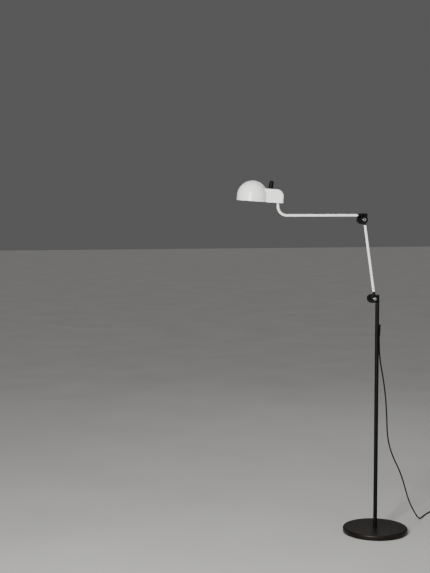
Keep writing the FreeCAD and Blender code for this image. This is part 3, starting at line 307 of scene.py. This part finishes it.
relief_outline = [(relief_bore, 0), (relief_top_radius - lip, 0), (relief_top_radius, -lip)]
for groove in range(groove_count):
    groove_top = first_groove + groove * groove_pitch
    for share, cut in ((0.0, 0), (0.12, groove_depth), (0.45, groove_depth), (0.57, 0)):
        down = groove_top + share * groove_pitch
        relief_outline.append((relief_radius(down) - cut, -down))
relief_outline.append((relief_tip_radius, lip - relief_length))
relief_outline.append((relief_tip_radius - lip, -relief_length))
relief_outline.append((relief_bore, -relief_length))
relief_bm = bmesh.new()
relief_verts = [relief_bm.verts.new((radius, 0, height)) for radius, height in relief_outline]
relief_edges = [relief_bm.edges.new(pair)
                for pair in zip(relief_verts, relief_verts[1:] + relief_verts[:1])]
bmesh.ops.spin(relief_bm, geom=relief_verts + relief_edges, axis=(0, 0, 1), cent=(0, 0, 0),
               angle=2 * math.pi, steps=relief_around, use_merge=True)
relief_middle = (relief_low + relief_high) / 2
bmesh.ops.translate(relief_bm, verts=relief_bm.verts,
                    vec=(relief_middle.x, relief_middle.y, relief_high.z))
add_piece("ribbed_strain_relief", relief_bm, "stand", cord_rubber,
          ["cord_strain_relief"], sharp_angle=50)

# ------------------------------------------------------------------ supply cord
# Round two-core cord in a black sheath.  It hangs from the outlet to the floor in one slack
# curve, and its spare length is wound in a neat coil of two layers of three turns.
cord_route = [
    (0.01207, 0.00669, 0.826), (0.01207, 0.00669, 0.778), (0.0145, 0.0076, 0.732),
    (0.022, 0.011, 0.688), (0.034, 0.0175, 0.640), (0.0445, 0.0215, 0.588),
    (0.052, 0.0255, 0.538), (0.057, 0.028, 0.484), (0.060, 0.030, 0.432),
    (0.064, 0.0315, 0.384), (0.076, 0.037, 0.338), (0.099, 0.048, 0.288),
    (0.129, 0.061, 0.238), (0.152, 0.072, 0.188), (0.171, 0.081, 0.134),
    (0.190, 0.090, 0.088), (0.217, 0.103, 0.044), (0.240, 0.114, 0.012),
    (0.260, 0.130, 0.003), (0.280, 0.154, 0.003), (0.303, 0.181, 0.003),
    (0.329, 0.205, 0.003), (0.352, 0.226, 0.0035),
]
coil_low, coil_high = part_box("cord_coil")
coil_centre = Vector(((coil_low.x + coil_high.x) / 2, (coil_low.y + coil_high.y) / 2, 0))
coil_outer_turn = (coil_high.x - coil_low.x) / 2 - cord_radius
coil_lowest = 0.004
coil_entry = math.radians(130.8)
turns_per_layer = 3
points_per_turn = 16
step_share = 0.25


def coil_point(turns):
    """The cord's middle after so many turns: inwards in the lower layer, outwards above."""
    whole = int(turns)
    late = max(0.0, (turns - whole - 1) / step_share + 1)
    step = late * late * (3 - 2 * late)
    if whole < turns_per_layer - 1:
        inward, climb = whole + step, 0
    elif whole == turns_per_layer - 1:
        inward, climb = whole, step
    else:
        inward, climb = 2 * turns_per_layer - 1 - whole - step, 1
    radius = coil_outer_turn - 2 * cord_radius * inward
    angle = coil_entry - 2 * math.pi * turns
    height = coil_lowest + 2 * cord_radius * climb
    return coil_centre + Vector((radius * math.cos(angle), radius * math.sin(angle), height))


coil_turns = 2 * turns_per_layer - 1 + coil_entry / (2 * math.pi)
coil_steps = round(coil_turns * points_per_turn)
coil_route = [coil_point(coil_turns * step / coil_steps) for step in range(coil_steps + 1)]
sleeve_low, sleeve_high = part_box("plug_sleeve")
sleeve_middle = (sleeve_low + sleeve_high) / 2
plug_route = [
    (sleeve_middle.x, 0.206, 0.0093), (sleeve_middle.x, 0.199, 0.0075),
    (sleeve_middle.x, 0.191, sleeve_middle.z), (sleeve_middle.x, 0.183, sleeve_middle.z),
]
cord_curve = bpy.data.curves.new("supply_cord", "CURVE")
cord_curve.dimensions = "3D"
cord_curve.bevel_depth = cord_radius
cord_curve.bevel_resolution = 5
cord_curve.resolution_u = 5
cord_curve.use_fill_caps = True
cord_points = cord_route + [tuple(point) for point in coil_route] + plug_route
cord_spline = cord_curve.splines.new("NURBS")
cord_spline.points.add(len(cord_points) - 1)
for spline_point, place in zip(cord_spline.points, cord_points):
    spline_point.co = (*place, 1)
cord_spline.order_u = 3
cord_spline.use_endpoint_u = True
cord_curve.materials.append(cord_rubber)
supply_cord = bpy.data.objects.new("supply_cord", cord_curve)
bpy.context.scene.collection.objects.link(supply_cord)
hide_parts("cord_tube", "cord_coil")
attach(supply_cord, "stand")

# ------------------------------------------------------------------ cord tie
# Short strap of black woven tape, closed on itself round the coil.  The ribs of its weave run
# across it.
tie_fabric = finish("tie_fabric", (0.012, 0.012, 0.013), (0.04, 0.04, 0.042), (0.75, 0.9),
                    cloud=1500, grain=3000, depth=0.0003)
tie_fabric.node_tree.nodes["Principled BSDF"].inputs["Sheen Weight"].default_value = 0.25
dress(tie_fabric, "coil_tie")

# ------------------------------------------------------------------ plug
# Two-pin plug moulded in black vinyl over the end of the cord, with a tapered sleeve that
# keeps the cord from kinking, and two plated round pins.
plug_plastic = finish("plug_plastic", (0.006, 0.006, 0.006), (0.012, 0.012, 0.012),
                      (0.38, 0.5), cloud=200, grain=2000, depth=0.00006, shine=0.35)
dress(plug_plastic, "plug_body", "plug_sleeve")
dress(plain_steel, "plug_pins")

# ------------------------------------------------------------------ friction joints
# Each is a cast knuckle against a cast socket, in fine-textured black, with a disc of brown
# brake fibre between them and a spring washer on the far side.
cast_black = finish("cast_black", (0.002, 0.002, 0.002), (0.0045, 0.0044, 0.0043),
                    (0.42, 0.56), cloud=120, grain=1300, depth=0.0001, shine=0.14)
friction_fibre = finish("friction_fibre", (0.1, 0.065, 0.04), (0.24, 0.17, 0.11), (0.7, 0.85),
                        cloud=700, grain=2200, depth=0.00012)
dress(cast_black, "lower_joint_socket", "lower_joint_knuckle",
      "upper_joint_socket", "upper_joint_knuckle")
dress(friction_fibre, "lower_friction_disc", "upper_friction_disc")
dress(plain_steel, "lower_spring_washer", "upper_spring_washer", "upper_set_screw")

# ------------------------------------------------------------------ pivot bolts
# Bright turned steel.  The lathe's fine rings run round the middle of each head, so they are
# a pattern centred on that bolt.  A wave texture turns through 20 times its scale in a metre.
ring_pitch = 0.0003
wave_rate = 20
for level in ("lower", "upper"):
    bolt_steel = finish(level + "_bolt_steel", (0.44, 0.44, 0.45), (0.6, 0.6, 0.61), (0.2, 0.32),
                        cloud=260, grain=1800, depth=0.00002, metal=1.0)
    bolt_low, bolt_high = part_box(level + "_pivot_bolt")
    bolt_nodes = bolt_steel.node_tree.nodes
    bolt_links = bolt_steel.node_tree.links
    bolt_place = bolt_nodes.new("ShaderNodeTexCoord")
    bolt_centre = bolt_nodes.new("ShaderNodeMapping")
    bolt_centre.inputs["Location"].default_value = -(bolt_low + bolt_high) / 2
    bolt_rings = bolt_nodes.new("ShaderNodeTexWave")
    bolt_rings.wave_type = "RINGS"
    bolt_rings.rings_direction = "Y"
    bolt_rings.inputs["Scale"].default_value = 2 * math.pi / (wave_rate * ring_pitch)
    ring_bump = bolt_nodes.new("ShaderNodeBump")
    ring_bump.inputs["Distance"].default_value = 0.00003
    bolt_links.new(bolt_place.outputs["Object"], bolt_centre.inputs["Vector"])
    bolt_links.new(bolt_centre.outputs["Vector"], bolt_rings.inputs["Vector"])
    bolt_links.new(bolt_rings.outputs["Fac"], ring_bump.inputs["Height"])
    bolt_links.new(bolt_nodes["grain"].outputs["Normal"], ring_bump.inputs["Normal"])
    bolt_links.new(ring_bump.outputs["Normal"], bolt_nodes["Principled BSDF"].inputs["Normal"])
    dress(bolt_steel, level + "_pivot_bolt")

# ------------------------------------------------------------------ arms
# Thin steel tubes in white enamel, pushed into the joints' necks.  The upper one is bent up
# at its end to carry the head.
white_paint = finish("white_paint", (0.8, 0.797, 0.78), (0.86, 0.858, 0.845), (0.27, 0.36),
                     cloud=18, grain=950, depth=0.00005)
white_shader = white_paint.node_tree.nodes["Principled BSDF"]
white_shader.inputs["Coat Weight"].default_value = 0.35
white_shader.inputs["Coat Roughness"].default_value = 0.12
dress(white_paint, "lower_arm_tube", "upper_arm_tube")

# ------------------------------------------------------------------ clamping knobs
# Fluted black knobs on the far side of both joints.  Each is moulded round a threaded brass
# insert, which screws onto the pivot bolt.
brass = finish("brass", (0.5, 0.38, 0.18), (0.66, 0.53, 0.3), (0.2, 0.34),
               cloud=260, grain=1600, depth=0.00003, metal=1.0)
dress(black_plastic, "lower_knob", "upper_knob")
dress(brass, "lower_knob_insert", "upper_knob_insert")

# ------------------------------------------------------------------ head mount
# Turned and plated steel block that swivels on its own pin in the end of the arm, and the
# cross pin, nut and washers that the head tilts on.
dress(plain_steel, "head_swivel_block", "tilt_pin", "tilt_nut", "tilt_washers")

# ------------------------------------------------------------------ shade
# One deep-drawn steel shell, a round dome run into a flat-sided tail, in white enamel inside
# and out.  A flat cover on two pillars closes the tail from below.
dress(white_paint, "shade_shell", "tail_cover")
dress(plain_steel, "cover_pillars", "cover_screws", "head_chassis")

# ------------------------------------------------------------------ switch
# Toggle switch under the top of the tail.  Its thick lever is a little conical and is moulded in
# dull black on a blackened stalk, and a ring nut on the black-plated bushing holds it down.
black_plate = finish("black_plate", (0.002, 0.002, 0.002), (0.0045, 0.0045, 0.0045),
                     (0.5, 0.64), cloud=140, grain=1500, depth=0.00004, shine=0.1)
dress(black_plastic, "switch_body", "switch_ring_nut")
dress(black_plate, "switch_bushing", "switch_stalk", "switch_lever")

# ------------------------------------------------------------------ lampholder
# Moulded black holder with a threaded brass liner round a porcelain contact block, on a steel
# bracket and a hollow brass nipple.  A porcelain terminal block sits beside the switch.
ceramic = finish("ceramic", (0.8, 0.79, 0.76), (0.84, 0.83, 0.8), (0.12, 0.2),
                 cloud=40, grain=500, depth=0.00002)
dress(plain_steel, "lampholder_bracket")
dress(brass, "holder_nipple", "holder_nut", "threaded_liner")
dress(black_plastic, "lampholder", "lampholder_ring")
dress(ceramic, "contact_block", "terminal_block")

# ------------------------------------------------------------------ bulb
# Small opal ball bulb with an aluminium screw cap.  It is lit, warm white, and brightens the
# inside of the shade.
cap_metal = finish("cap_metal", (0.66, 0.66, 0.67), (0.76, 0.76, 0.77), (0.22, 0.34),
                   cloud=150, grain=1500, depth=0.00003, metal=1.0)
opal_glass = finish("opal_glass", (0.93, 0.91, 0.86), (0.96, 0.94, 0.9), (0.2, 0.28),
                    cloud=40, grain=300, depth=0.00001)
opal_shader = opal_glass.node_tree.nodes["Principled BSDF"]
opal_shader.inputs["Emission Color"].default_value = (1.0, 0.83, 0.6, 1)
opal_shader.inputs["Emission Strength"].default_value = 15.0
dress(cap_metal, "lamp_cap")
dress(opal_glass, "lamp_bulb")
